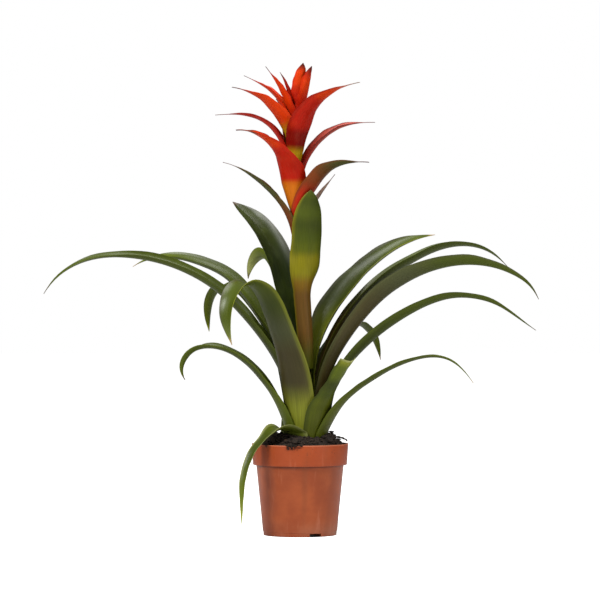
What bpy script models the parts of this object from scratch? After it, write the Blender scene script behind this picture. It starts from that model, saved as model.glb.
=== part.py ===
"""A guzmania bromeliad in flower, growing in a round plastic nursery pot.

Strap leaves sheathe one another round a short crown, like the walls of a vase, and arch out. A stem rises
through them and carries a spiral of coloured bracts. The frame has its origin at the centre of the pot's
base, +Z up and -Y towards the side where the cut leaf and the tall stem leaf stand.
"""

import math

import bmesh
import bpy
from mathutils import Matrix, Vector

# Pot, in metres.
POT_HEIGHT = 0.113
RIM_TOP_RADIUS = 0.060
RIM_FOOT_RADIUS = 0.0584
RIM_HEIGHT = 0.026
BODY_TOP_RADIUS = 0.0543
BASE_RADIUS = 0.0457
WALL = 0.0015
FLOOR = 0.0016
FOOT_BAND_HEIGHT = 0.005
FOOT_BAND_STEP = 0.0004
EDGE_ROUND = 0.0008
LIP_ROUND = 0.00025
POT_SIDES = 48

# Drainage: covered channels under the floor that open through the foot of the wall.
CHANNELS = 3
CHANNEL_TURN = math.radians(25)
CHANNEL_WIDTH = 0.0155
CHANNEL_DEPTH = 0.0040
CHANNEL_INNER_RADIUS = 0.019
DRAIN_RADIUS = 0.003
DRAIN_FROM_AXIS = 0.031

# Potting soil: a mound that falls from the crown to the wall.
SOIL_GAP = 0.0003
SOIL_WALL_DROP = 0.0025
SOIL_CROWN_RISE = 0.0125
SOIL_SHOULDER_RADIUS = 0.020
SOIL_RINGS = 7

# Crown and stem. Heights above the crown are measured from where the leaf sheaths start.
CROWN_ABOVE_RIM = 0.001
CROWN_RADIUS = 0.0250
CROWN_FLARE = (0.0, 0.0022, 0.0042, 0.0056, 0.0072, 0.0105, 0.0150)
CROWN_HEIGHT = 0.108
CROWN_HEART_GAP = 0.0027
LAYERS = 7
LAYERS_GONE = (0.0, 0.3, 0.9, 1.4, 1.9, 2.4, 3.0, 3.8)
CAUDEX_RADIUS = 0.022
CAUDEX_HEIGHT = 0.007
CAUDEX_FOOT_RADIUS = 0.020
STEM_RADIUS = 0.0060
STEM_TIP_RADIUS = 0.0040
STEM_HEIGHT = 0.424
STEM_SWAY = (0.0070, 0.0080, 0.0068, 0.0024, -0.0008, -0.0045, -0.0072, -0.0020)
STEM_SIDES = 3
STEM_STEPS = 22

# Leaves and bracts.
LEAF_THICKNESS = 0.0008
BRACT_THICKNESS = 0.0007
TOUCH_GAP = 0.0004
ACROSS = 6
SHEATH_STEPS = 4
SHORT_SHEATH_STEPS = 2
SHORT_SHEATH = 30
LEAF_STEPS = 11
BRACT_STEPS = 8
SHEATH_HALF_ANGLE = math.radians(54)
SHEATH_NARROWING_HEIGHT = 0.085
WRAP_LIMIT = 1.8
TIP_HALF_WIDTH = 0.0006

# How a blade takes shape after its sheath, as shares of its length: it leaves the crown's direction, spreads
# to its own width and fold, and turns on its midrib. It keeps its width, then tapers by a power to the tip,
# where the fold opens to a share of what it was. A long bract ends in a thread. A leaf may turn again near
# its tip.
PATH_STEPS = 6
LEAVES_UPRIGHT_BY = 0.2
SPREADS_BY = 0.3
TWISTED_BY = 0.45
END_TWIST_FROM = 0.66
END_TWISTED_BY = 0.92
BRACT_POINT = 0.90
BRACT_THREAD = 0.07
LONGEST_BLUNT_BRACT = 60
TIP_FOLD = 0.35
SHEATH_SPREAD = 1.15

# One row for each leaf, from the outermost sheath to the innermost. Headings are seen from above, 0 towards
# +X and 90 towards +Y. Lengths are in millimetres. Leaves of one layer stand clear of one another round the
# crown, and layer 0 is the outermost. A blade narrows by a power of the way to its tip, or to a share of its
# width where it was cut. The slopes are its angle above the horizontal, in degrees, at even steps from where
# it leaves the crown to its tip.
LEAVES = (
    # name, heading, turn, layer, leaves crown at, blade, half width, taper, end share, fold, twist,
    # end twist, slopes
    ("leaf_rim_left", 222, 0, 0, 14, 162, 9, 2.6, 0.0, 0.8, 0, 0, (24, -22, -40, -61, -80, -88, -90)),
    ("leaf_low_right", 352, 0, 0, 14, 230, 12, 2.6, 0.0, 1.0, 0, 0, (64, 57, 41, 33, 26, 17, -5, -38, -56)),
    ("leaf_rim_back", 104, 0, 0, 14, 140, 12, 2.6, 0.0, 0.8, 0, 0, (60, 22, -12, -42, -66, -80, -84)),
    ("leaf_low_left", 188, 0, 1, 18, 208, 15, 3.0, 0.0, 1.1, -12, 70,
     (70, 66, 57, 48, 36, 18, -12, -60, -120)),
    ("leaf_cut", 316, 0, 1, 41, 76, 17, 2.6, 0.85, 0.8, 0, 0, (67, 57, 50, 45)),
    ("leaf_back", 78, 0, 1, 40, 150, 14, 2.6, 0.0, 0.9, 0, 0, (62, 30, 2, -28, -52, -68)),
    ("leaf_right", 356, 0, 2, 38, 334, 17, 2.6, 0.0, 1.2, -12, 0, (72, 62, 47, 38, 29, 14, -10, -33, -34)),
    ("leaf_front_left", 240, -18, 2, 66, 257, 21, 4.5, 0.0, 0.75, 0, 0,
     (76, 66, 58, 57, 49, 10, -50, -90, -112)),
    ("leaf_back_left", 131, 0, 2, 60, 270, 16, 7.0, 0.0, 1.0, -10, 0,
     (74, 66, 57, 47, 38, 22, -14, -70, -98)),
    ("leaf_far_left", 183, 0, 3, 66, 390, 18, 2.6, 0.0, 1.25, -18, 0,
     (76, 61, 53, 47, 37, 25, 14, 4, -12, -34, -58)),
    ("leaf_broad_right", 345, 0, 3, 73, 350, 20, 3.4, 0.0, 1.1, -25, 0,
     (78, 62, 55, 49, 37, 25, 14, 1, -15, -32, -64)),
    ("leaf_back_right", 54, 0, 4, 78, 190, 12, 4.0, 0.0, 0.8, 0, 0, (70, 48, 38, 19, -15, -46, -74)),
    ("leaf_left", 164, 0, 4, 78, 284, 18, 4.0, 0.0, 1.1, -18, 0, (80, 64, 56, 54, 42, 23, 11, -4, -30)),
    ("leaf_arch_right", 8, 0, 5, 78, 324, 21, 3.6, 0.0, 1.1, 0, 0, (74, 64, 55, 45, 35, 28, 12, -18, -46)),
    ("leaf_curl_back", 118, 0, 5, 96, 231, 14, 6.0, 0.0, 0.9, 50, 0, (80, 72, 60, 50, 48, 44, 18, -34, -84)),
    ("leaf_upper_right", 30, 0, 6, 86, 268, 22, 3.6, 0.0, 1.1, 18, 0, (84, 73, 62, 50, 43, 35, 28, 17, 8)),
    ("leaf_upper_left", 147, 0, 6, 98, 235, 19, 7.0, 0.0, 0.8, -30, 0, (83, 77, 75, 72, 57, 42, 34)),
)

# One row for each bract, from the lowest on the stem upwards, after the tall stem leaf. Each starts on the
# stem, or stands off it by a little, hugs it for the length of its sheath and then bends out.
BRACTS = (
    # name, heading, turn, starts at, stands off, sheath, lean, blade, half width, taper, fold, twist, slopes
    ("stem_leaf", 296, 0, 92, 2.2, 90, 0.017, 132, 21, 8.0, 0.75, -14, (89, 87, 84, 82, 80, 79)),
    ("bract_01_low_left", 187, 0, 248, 0, 20, 0.18, 120, 13, 2.6, 1.0, -10, (72, 60, 47, 38, 30, 12)),
    ("bract_02_low_back", 40, 0, 256, 0, 20, 0.18, 78, 7, 2.6, 0.9, 0, (60, 48, 48, 48, 44)),
    ("bract_03_low_right", 318, 26, 269, 0, 20, 0.26, 116, 18, 2.6, 1.0, -15, (68, 58, 50, 33, 16, 4, -5)),
    ("bract_04_front_left", 232, -34, 280, 0, 42, 0.27, 104, 28, 2.2, 1.1, -16, (70, 64, 54, 44, 31, 15, -6)),
    ("bract_05_back", 100, 0, 291, 0, 36, 0.18, 90, 12, 2.6, 0.9, 0, (84, 76, 64, 48, 34)),
    ("bract_06_right", 14, 0, 307, 0, 30, 0.21, 120, 13, 2.6, 1.2, 12, (74, 60, 48, 34, 19, 7, 0)),
    ("bract_07_left", 171, 0, 320, 0, 28, 0.18, 122, 14, 2.6, 0.9, 0, (78, 70, 52, 31, 13, 0, -3)),
    ("bract_08_back_left", 118, 0, 329, 0, 32, 0.18, 80, 12, 2.6, 0.9, 0, (82, 74, 62, 50, 38)),
    ("bract_09_front_right", 302, 36, 340, 0, 22, 0.28, 131, 25, 2.2, 1.1, 0, (70, 65, 56, 38, 28, 18, 8)),
    ("bract_10_upper_left", 212, -18, 354, 0, 16, 0.18, 108, 22, 2.6, 1.0, 0, (76, 60, 50, 38, 22, 8)),
    ("bract_11_upper_back", 60, 0, 362, 0, 18, 0.18, 60, 12, 2.6, 0.9, 0, (80, 70, 60, 50, 40)),
    ("bract_12_thin_left", 166, 0, 370, 0, 18, 0.18, 95, 13, 2.6, 1.0, 0, (80, 71, 56, 40, 30, 24)),
    ("bract_13_top_left", 197, 0, 382, 0, 16, 0.18, 76, 13, 2.6, 1.0, 0, (80, 71, 65, 57, 50)),
    ("bract_14_top_back", 160, 0, 391, 0, 14, 0.18, 58, 8, 2.6, 1.0, 0, (84, 79, 72, 60)),
    ("bract_15_top_right", 336, 0, 397, 0, 12, 0.24, 59, 13.5, 6.0, 1.0, 0, (80, 78, 78, 80)),
    ("bract_16_top_front", 296, 0, 411, 0, 10, 0.16, 50, 12.5, 4.0, 1.0, 0, (87, 83, 80, 76)),
)

# One row for each piece of bark that lies on the soil: where it lies, how it is turned, and its sides.
BARK_CHIPS = (
    # name, x, y, turn, length, width, thickness
    ("bark_chip_1", -33, -27, 20, 15, 9, 4),
    ("bark_chip_2", -50, -8, 70, 12, 7, 4),
    ("bark_chip_3", 36, -26, -35, 13, 9, 5),
    ("bark_chip_4", 48, 4, 80, 11, 8, 4),
    ("bark_chip_5", -6, -46, 5, 12, 7, 4),
    ("bark_chip_6", -14, 40, 150, 14, 9, 4),
)
CHIP_LIFT = 0.0008
CHIP_ROUND = 0.0008
ROOT_RADIUS = 0.0008
ROOT_HEADINGS = (-22, -17, -16, -20, -25)
ROOT_FROM_AXIS = (0.042, 0.050, 0.057, 0.064)
ROOT_ABOVE_RIM = (0.0095, 0.0085, 0.0070, 0.0048)
ROOT_STEPS = 10

GREEN = (0.075, 0.130, 0.012, 1)
RED = (0.620, 0.045, 0.010, 1)
STEM_BROWN = (0.110, 0.045, 0.012, 1)
TERRACOTTA = (0.300, 0.075, 0.030, 1)
BARK_BROWN = (0.030, 0.018, 0.011, 1)
SOIL_BROWN = (0.014, 0.009, 0.006, 1)

MILLIMETRE = 0.001
CROWN_Z = POT_HEIGHT + CROWN_ABOVE_RIM


def clear_scene():
    for item in list(bpy.data.objects):
        bpy.data.objects.remove(item, do_unlink=True)


def new_collection(name):
    collection = bpy.data.collections.new(name)
    bpy.context.scene.collection.children.link(collection)
    return collection


def new_material(name, colour, roughness):
    material = bpy.data.materials.new(name)
    material.use_nodes = True
    material.diffuse_color = colour
    shader = material.node_tree.nodes["Principled BSDF"]
    shader.inputs["Base Color"].default_value = colour
    shader.inputs["Roughness"].default_value = roughness
    shader.inputs["Metallic"].default_value = 0.0
    return material


def new_object(name, data, collection, material=None):
    item = bpy.data.objects.new(name, data)
    collection.objects.link(item)
    if material:
        data.materials.append(material)
    return item


def apply_round_shading(item, angle=math.radians(40)):
    item.data.shade_smooth()
    item.data.set_sharp_from_angle(angle=angle)


def smooth_step(share):
    share = min(max(share, 0.0), 1.0)
    return share * share * (3.0 - 2.0 * share)


def along(values, share):
    """The value at a share of the way along evenly spaced values, joined by a smooth curve."""
    spans = len(values) - 1
    place = min(max(share, 0.0), 1.0) * spans
    first = min(int(place), spans - 1)
    step = place - first
    before = values[max(first - 1, 0)]
    start, end = values[first], values[first + 1]
    after = values[min(first + 2, spans)]
    bend = 3.0 * (start - end) + after - before
    return start + 0.5 * step * (
        end - before + step * (2.0 * before - 5.0 * start + 4.0 * end - after + step * bend)
    )


def stem_centre(z):
    """The centre of the stem at a height, which is also the centre of the crown."""
    return Vector((along(STEM_SWAY, (z - CROWN_Z) / STEM_HEIGHT), 0.0, z))


def stem_radius(z):
    share = smooth_step((z - CROWN_Z) / STEM_HEIGHT * 2.0 - 1.0)
    return STEM_RADIUS + (STEM_TIP_RADIUS - STEM_RADIUS) * share


def crown_shell_radius(z, layer):
    """The radius of a leaf sheath. Inner layers move outwards as the outer ones leave the crown."""
    share = (z - CROWN_Z) / CROWN_HEIGHT
    outer = CROWN_RADIUS + along(CROWN_FLARE, share)
    inner = STEM_RADIUS + BRACT_THICKNESS + LEAF_THICKNESS + CROWN_HEART_GAP
    gone = along(LAYERS_GONE, share)
    return outer + (inner - outer) * (layer - gone) / (LAYERS - 1 - gone)


def turned_solid(name, profile, sides, collection, material):
    """A profile of (radius, height) points, running down the outer side, turned round the Z axis."""
    mesh = bpy.data.meshes.new(name)
    points = [(radius, 0.0, height) for radius, height in profile]
    mesh.from_pydata(points, [(i, i + 1) for i in range(len(points) - 1)], [])
    item = new_object(name, mesh, collection, material)
    screw = item.modifiers.new("Turn", "SCREW")
    screw.steps = sides
    screw.render_steps = sides
    screw.use_merge_vertices = True
    screw.merge_threshold = 0.00001
    return item


def cut(item, cutter, operation="DIFFERENCE"):
    boolean = item.modifiers.new(cutter.name, "BOOLEAN")
    boolean.object = cutter
    boolean.operation = operation
    boolean.solver = "EXACT"


def hide_cutter(item):
    item.hide_render = True
    item.display_type = "WIRE"


def box_mesh(name, low, high):
    mesh = bpy.data.meshes.new(name)
    shape = bmesh.new()
    bmesh.ops.create_cube(shape, size=1.0)
    for vertex in shape.verts:
        share = vertex.co + Vector((0.5, 0.5, 0.5))
        vertex.co = Vector(a + (b - a) * s for a, b, s in zip(low, high, share))
    shape.to_mesh(mesh)
    shape.free()
    return mesh


def cylinder_mesh(name, radius, low, high, sides):
    mesh = bpy.data.meshes.new(name)
    shape = bmesh.new()
    bmesh.ops.create_cone(
        shape, cap_ends=True, segments=sides, radius1=radius, radius2=radius, depth=high - low
    )
    bmesh.ops.translate(shape, verts=shape.verts, vec=(0, 0, (low + high) / 2))
    shape.to_mesh(mesh)
    shape.free()
    return mesh


def body_radius(z):
    """The outer radius of the tapered body below the rim."""
    return BASE_RADIUS + (BODY_TOP_RADIUS - BASE_RADIUS) * z / (POT_HEIGHT - RIM_HEIGHT)


def build_pot(collection, cutters, material):
    rim_foot = POT_HEIGHT - RIM_HEIGHT
    profile = (
        (RIM_TOP_RADIUS - WALL + LIP_ROUND, POT_HEIGHT - LIP_ROUND),
        (RIM_TOP_RADIUS - WALL / 2, POT_HEIGHT),
        (RIM_TOP_RADIUS - LIP_ROUND, POT_HEIGHT - LIP_ROUND),
        (RIM_TOP_RADIUS, POT_HEIGHT - WALL / 2),
        (RIM_FOOT_RADIUS, rim_foot + EDGE_ROUND),
        (RIM_FOOT_RADIUS - EDGE_ROUND, rim_foot),
        (BODY_TOP_RADIUS, rim_foot),
        (body_radius(FOOT_BAND_HEIGHT), FOOT_BAND_HEIGHT),
        (body_radius(FOOT_BAND_HEIGHT) - FOOT_BAND_STEP, FOOT_BAND_HEIGHT - FOOT_BAND_STEP),
        (BASE_RADIUS - FOOT_BAND_STEP, EDGE_ROUND),
        (BASE_RADIUS - FOOT_BAND_STEP - EDGE_ROUND, 0.0),
        (0.0, 0.0),
    )
    inside = (
        (0.0, FLOOR),
        (BASE_RADIUS - WALL - FOOT_BAND_STEP, FLOOR),
        (BODY_TOP_RADIUS - WALL, rim_foot + WALL),
        (RIM_FOOT_RADIUS - WALL, rim_foot + WALL),
        (RIM_TOP_RADIUS - WALL, POT_HEIGHT - WALL / 2),
        (RIM_TOP_RADIUS - WALL + LIP_ROUND, POT_HEIGHT - LIP_ROUND),
    )
    pot = turned_solid("pot", profile + inside, POT_SIDES, collection, material)
    roof_z = CHANNEL_DEPTH + WALL
    reach = BASE_RADIUS - FOOT_BAND_STEP - WALL * 0.75
    half = CHANNEL_WIDTH / 2
    for number in range(CHANNELS):
        turn = -math.pi / 2 + CHANNEL_TURN + number * math.tau / CHANNELS
        roof = new_object(
            f"channel_roof_{number + 1}",
            box_mesh(
                "channel_roof",
                (CHANNEL_INNER_RADIUS - WALL, -half - WALL, FLOOR / 2),
                (reach, half + WALL, roof_z),
            ),
            cutters,
        )
        channel = new_object(
            f"channel_{number + 1}",
            box_mesh(
                "channel",
                (CHANNEL_INNER_RADIUS, -half, -WALL),
                (BASE_RADIUS + WALL, half, CHANNEL_DEPTH),
            ),
            cutters,
        )
        drain = new_object(
            f"drain_{number + 1}",
            cylinder_mesh("drain", DRAIN_RADIUS, 0.0, roof_z + WALL, 12),
            cutters,
        )
        roof.rotation_euler.z = turn
        channel.rotation_euler.z = turn
        drain.location = (DRAIN_FROM_AXIS * math.cos(turn), DRAIN_FROM_AXIS * math.sin(turn), 0)
        cut(pot, roof, "UNION")
        cut(pot, channel)
        cut(pot, drain)
        for helper in (roof, channel, drain):
            hide_cutter(helper)
    apply_round_shading(pot)
    return pot


def soil_height(radius):
    """The height of the mound at a distance from the pot's axis."""
    wall_z = POT_HEIGHT - SOIL_WALL_DROP
    wall_radius = RIM_TOP_RADIUS - WALL
    fall = smooth_step((radius - SOIL_SHOULDER_RADIUS) / (wall_radius - SOIL_SHOULDER_RADIUS))
    return wall_z + (SOIL_CROWN_RISE + SOIL_WALL_DROP) * (1.0 - fall)


def build_soil(collection, cutters, material):
    rim_foot = POT_HEIGHT - RIM_HEIGHT
    wall_z = POT_HEIGHT - SOIL_WALL_DROP
    slope = (RIM_TOP_RADIUS - RIM_FOOT_RADIUS) / RIM_HEIGHT
    wall_radius = RIM_TOP_RADIUS - WALL - SOIL_GAP - slope * SOIL_WALL_DROP
    bottom = CHANNEL_DEPTH + WALL + SOIL_GAP
    surface = [wall_radius * ring / SOIL_RINGS for ring in range(SOIL_RINGS)]
    profile = [(radius, soil_height(radius)) for radius in surface]
    profile.append((wall_radius, wall_z))
    profile += [
        (RIM_FOOT_RADIUS - WALL - SOIL_GAP, rim_foot + WALL + SOIL_GAP),
        (BODY_TOP_RADIUS - WALL - SOIL_GAP, rim_foot + WALL + SOIL_GAP),
        (body_radius(bottom) - WALL - FOOT_BAND_STEP - SOIL_GAP * 2, bottom),
        (0.0, bottom),
    ]
    soil = turned_solid("potting_soil", profile, POT_SIDES, collection, material)
    well = new_object(
        "crown_well",
        cylinder_mesh(
            "crown_well",
            CROWN_RADIUS + CROWN_FLARE[1] + LEAF_THICKNESS / 2 + TOUCH_GAP,
            CROWN_Z - CAUDEX_HEIGHT - TOUCH_GAP * 2,
            CROWN_Z + SOIL_CROWN_RISE * 2,
            32,
        ),
        cutters,
    )
    well.location.x = STEM_SWAY[0]
    cut(soil, well)
    hide_cutter(well)
    apply_round_shading(soil)
    return soil


def build_stem(collection, material):
    """The short caudex that the sheaths stand on, and the stem that rises from it, as one tapered tube."""
    path = [
        (CROWN_Z - CAUDEX_HEIGHT, CAUDEX_FOOT_RADIUS),
        (CROWN_Z - TOUCH_GAP - LEAF_THICKNESS / 2, CAUDEX_RADIUS),
        (CROWN_Z - TOUCH_GAP, STEM_RADIUS),
    ]
    for step in range(1, STEM_STEPS + 1):
        z = CROWN_Z + STEM_HEIGHT * step / STEM_STEPS
        path.append((z, stem_radius(z)))
    path.append((CROWN_Z + STEM_HEIGHT + STEM_TIP_RADIUS, STEM_TIP_RADIUS * 0.5))
    curve = bpy.data.curves.new("flower_stem", "CURVE")
    curve.dimensions = "3D"
    curve.bevel_depth = 1.0
    curve.bevel_resolution = STEM_SIDES
    curve.use_fill_caps = True
    spline = curve.splines.new("POLY")
    spline.points.add(len(path) - 1)
    for point, (z, radius) in zip(spline.points, path):
        point.co = (*stem_centre(z), 1.0)
        point.radius = radius
    return new_object("flower_stem", curve, collection, material)


def strap(name, stations, thickness, collection, material):
    """A leaf or bract: a grid bent along its stations, then given its thickness.

    A station holds the midrib point, the sideways and inner-face directions, and the half width and half
    angle of the arc that the section bends through.
    """
    mesh = bpy.data.meshes.new(name)
    shape = bmesh.new()
    last = len(stations) - 1
    bmesh.ops.create_grid(shape, x_segments=last, y_segments=ACROSS, size=1.0)
    for vertex in shape.verts:
        midrib, sideways, inner, half_width, half_angle = stations[round((vertex.co.x + 1) / 2 * last)]
        angle = vertex.co.y * half_angle
        bend_radius = half_width / half_angle
        vertex.co = (
            midrib
            + sideways * math.sin(angle) * bend_radius
            + inner * (1.0 - math.cos(angle)) * bend_radius
        )
    shape.to_mesh(mesh)
    shape.free()
    item = new_object(name, mesh, collection, material)
    skin = item.modifiers.new("Thickness", "SOLIDIFY")
    skin.thickness = thickness
    skin.offset = 0.0
    skin.use_even_offset = True
    apply_round_shading(item, math.radians(60))
    return item


def facing(heading):
    return Vector((math.cos(heading), math.sin(heading), 0.0))


def strap_stations(sheath, row, steps):
    """Stations up the sheath, whose (centre, radius, half width) are given, and then along the free blade."""
    heading, turn, blade, half_width, taper, point_share, end_share, fold, twist, end_twist, slopes = row
    out = facing(heading)
    stations = []
    for centre, radius, width in sheath:
        sideways = Vector((-out.y, out.x, 0.0))
        stations.append((centre + out * radius, sideways, -out, width, width / radius))
    point = stations[-1][0].copy()
    start_width, start_angle = stations[-1][3:]
    up = Vector((0.0, 0.0, 1.0))
    path_steps = steps * PATH_STEPS
    for step in range(1, path_steps + 1):
        share = step / path_steps
        slope = math.radians(along(slopes, share - 0.5 / path_steps))
        out = facing(heading + turn * share)
        ahead = out * math.cos(slope) + up * math.sin(slope)
        point = point + ahead * (blade / path_steps)
        if step % PATH_STEPS:
            continue
        slope = math.radians(along(slopes, share))
        ahead = out * math.cos(slope) + up * math.sin(slope)
        ahead = (up + (ahead - up) * smooth_step(share / LEAVES_UPRIGHT_BY)).normalized()
        sideways = Vector((-out.y, out.x, 0.0))
        inner = sideways.cross(ahead) * -1.0
        roll = twist * smooth_step(share / TWISTED_BY)
        roll += end_twist * smooth_step((share - END_TWIST_FROM) / (END_TWISTED_BY - END_TWIST_FROM))
        rolled = sideways * math.cos(roll) + inner * math.sin(roll)
        inner = inner * math.cos(roll) - sideways * math.sin(roll)
        width = half_width * max(1.0 - (share / point_share) ** taper, end_share)
        width = start_width + (width - start_width) * smooth_step(share / SPREADS_BY)
        angle = start_angle + (fold - start_angle) * smooth_step(share / SPREADS_BY)
        angle *= min(1.0, TIP_FOLD + width / half_width)
        stations.append((point, rolled, inner, max(width, TIP_HALF_WIDTH), angle))
    return stations


def build_leaves(collection, material):
    for row in LEAVES:
        name, heading, turn, layer, leaves_at, blade, half_width, taper, end_share, fold, *rest = row
        twist, end_twist, slopes = rest
        sheath = []
        for step in range(SHEATH_STEPS + 1):
            height = leaves_at * MILLIMETRE * step / SHEATH_STEPS
            radius = crown_shell_radius(CROWN_Z + height, layer)
            full = SHEATH_HALF_ANGLE * radius
            narrow = min(full, half_width * MILLIMETRE * SHEATH_SPREAD)
            width = full + (narrow - full) * smooth_step(height / SHEATH_NARROWING_HEIGHT)
            sheath.append((stem_centre(CROWN_Z + height), radius, width))
        blade_row = (
            math.radians(heading),
            math.radians(turn),
            blade * MILLIMETRE,
            half_width * MILLIMETRE,
            taper,
            1.0,
            end_share,
            fold,
            math.radians(twist),
            math.radians(end_twist),
            slopes,
        )
        stations = strap_stations(sheath, blade_row, LEAF_STEPS)
        strap(name, stations, LEAF_THICKNESS, collection, material)


def build_bracts(collection, leaf_material, bract_material):
    for row in BRACTS:
        name, heading, turn, starts_at, stands_off, hugging, lean, blade, half_width, *rest = row
        taper, fold, twist, slopes = rest
        sheath = []
        start_z = CROWN_Z + starts_at * MILLIMETRE
        clear = TOUCH_GAP + BRACT_THICKNESS / 2 + stands_off * MILLIMETRE
        steps = SHEATH_STEPS if hugging > SHORT_SHEATH else SHORT_SHEATH_STEPS
        for step in range(steps + 1):
            z = start_z + hugging * MILLIMETRE * step / steps
            radius = stem_radius(z) + clear + lean * (z - start_z)
            width = min(half_width * MILLIMETRE, WRAP_LIMIT * radius)
            sheath.append((stem_centre(z), radius, width))
        is_leaf = name == "stem_leaf"
        threaded = not is_leaf and blade > LONGEST_BLUNT_BRACT
        blade_row = (
            math.radians(heading),
            math.radians(turn),
            blade * MILLIMETRE,
            half_width * MILLIMETRE,
            taper,
            BRACT_POINT if threaded else 1.0,
            BRACT_THREAD if threaded else 0.0,
            fold,
            math.radians(twist),
            0.0,
            slopes,
        )
        stations = strap_stations(sheath, blade_row, BRACT_STEPS)
        material = leaf_material if is_leaf else bract_material
        strap(name, stations, BRACT_THICKNESS, collection, material)


def build_bark(collection, material):
    """Bark chips that lie on the slope of the mound."""
    for name, x, y, turn, length, width, thickness in BARK_CHIPS:
        low = (-length / 2, -width / 2, -thickness / 2)
        high = (length / 2, width / 2, thickness / 2)
        mesh = box_mesh(name, *(tuple(side * MILLIMETRE for side in corner) for corner in (low, high)))
        chip = new_object(name, mesh, collection, material)
        away = math.hypot(x, y) * MILLIMETRE
        reach = length * MILLIMETRE / 2
        inner = soil_height(away - reach)
        outer = soil_height(away + reach)
        fall = math.atan2(inner - outer, 2 * reach)
        heading = math.atan2(y, x)
        rests_at = max(soil_height(away), (inner + outer) / 2)
        chip.location = (x * MILLIMETRE, y * MILLIMETRE, rests_at + thickness * MILLIMETRE / 2 + CHIP_LIFT)
        lie = Matrix.Rotation(heading, 3, "Z") @ Matrix.Rotation(fall, 3, "Y")
        chip.rotation_euler = (lie @ Matrix.Rotation(math.radians(turn), 3, "Z")).to_euler()
        bevel = chip.modifiers.new("Worn edges", "BEVEL")
        bevel.width = CHIP_ROUND
        bevel.segments = 1


def build_root(collection, material):
    """A thin dead root that lies on the soil and pokes out over the rim."""
    curve = bpy.data.curves.new("root_strand", "CURVE")
    curve.dimensions = "3D"
    curve.bevel_depth = ROOT_RADIUS
    curve.bevel_resolution = 1
    curve.use_fill_caps = True
    spline = curve.splines.new("POLY")
    spline.points.add(ROOT_STEPS)
    for step, point in enumerate(spline.points):
        away = along(ROOT_FROM_AXIS, step / ROOT_STEPS)
        heading = math.radians(along(ROOT_HEADINGS, step / ROOT_STEPS))
        height = POT_HEIGHT + along(ROOT_ABOVE_RIM, step / ROOT_STEPS)
        point.co = (away * math.cos(heading), away * math.sin(heading), height, 1.0)
    return new_object("root_strand", curve, collection, material)


def main():
    clear_scene()
    plant = new_collection("potted_bromeliad")
    cutters = new_collection("cutters")
    cutters.hide_render = True
    plastic = new_material("terracotta_plastic", TERRACOTTA, 0.45)
    soil = new_material("potting_soil", SOIL_BROWN, 0.95)
    bark = new_material("bark", BARK_BROWN, 0.9)
    leaf = new_material("leaf_green", GREEN, 0.35)
    bract = new_material("bract_red", RED, 0.35)
    stem = new_material("stem_brown", STEM_BROWN, 0.45)
    build_pot(plant, cutters, plastic)
    build_soil(plant, cutters, soil)
    build_bark(plant, bark)
    build_root(plant, bark)
    build_stem(plant, stem)
    build_leaves(plant, leaf)
    build_bracts(plant, leaf, bract)


main()
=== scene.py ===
import math
import random

import bpy
from mathutils import Matrix, Vector, noise


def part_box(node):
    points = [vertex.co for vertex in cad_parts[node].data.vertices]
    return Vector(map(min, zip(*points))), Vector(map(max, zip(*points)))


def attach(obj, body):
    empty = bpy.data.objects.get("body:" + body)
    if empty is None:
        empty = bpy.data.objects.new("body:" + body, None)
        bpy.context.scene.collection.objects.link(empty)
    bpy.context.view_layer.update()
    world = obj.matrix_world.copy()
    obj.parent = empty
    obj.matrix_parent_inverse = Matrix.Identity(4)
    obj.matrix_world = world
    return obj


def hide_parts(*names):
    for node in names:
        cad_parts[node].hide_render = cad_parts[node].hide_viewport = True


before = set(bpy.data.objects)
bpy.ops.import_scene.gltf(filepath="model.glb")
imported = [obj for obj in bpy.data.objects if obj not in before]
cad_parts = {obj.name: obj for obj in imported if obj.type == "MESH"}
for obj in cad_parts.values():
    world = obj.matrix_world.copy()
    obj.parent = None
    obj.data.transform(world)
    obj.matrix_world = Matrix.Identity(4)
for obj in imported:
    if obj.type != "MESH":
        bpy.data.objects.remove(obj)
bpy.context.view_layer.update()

# ---- The pot ------------------------------------------------------------------------------------------
# A thin nursery pot moulded in terracotta-coloured plastic: a tapered body, a deep rim that stands proud of
# it, a low foot band, and three drainage channels under the floor that open through the foot.
POT_TOP = 0.113
POT_RIM_FOOT = 0.087
POT_FOOT = 0.0453
FOOT_BAND = 0.0046
BODY_TOP_RADIUS = 0.0543
RIM_FOOT_RADIUS = 0.0584
RIM_RADIUS = 0.0600
POT_WALL = 0.0015
CHANNEL_HEADINGS = (-65, 55, 175)
CHANNEL_SIDES = (0.030, 0.0155, 0.0080)


def deselect_all():
    if bpy.context.mode != "OBJECT":
        bpy.ops.object.mode_set(mode="OBJECT")
    bpy.ops.object.select_all(action="DESELECT")


def take_up(piece):
    deselect_all()
    piece.select_set(True)
    bpy.context.view_layer.objects.active = piece


def apply_modifiers(piece):
    take_up(piece)
    for modifier in list(piece.modifiers):
        bpy.ops.object.modifier_apply(modifier=modifier.name)


def place_in_mesh(piece):
    take_up(piece)
    bpy.ops.object.transform_apply(location=True, rotation=True, scale=True)


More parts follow.
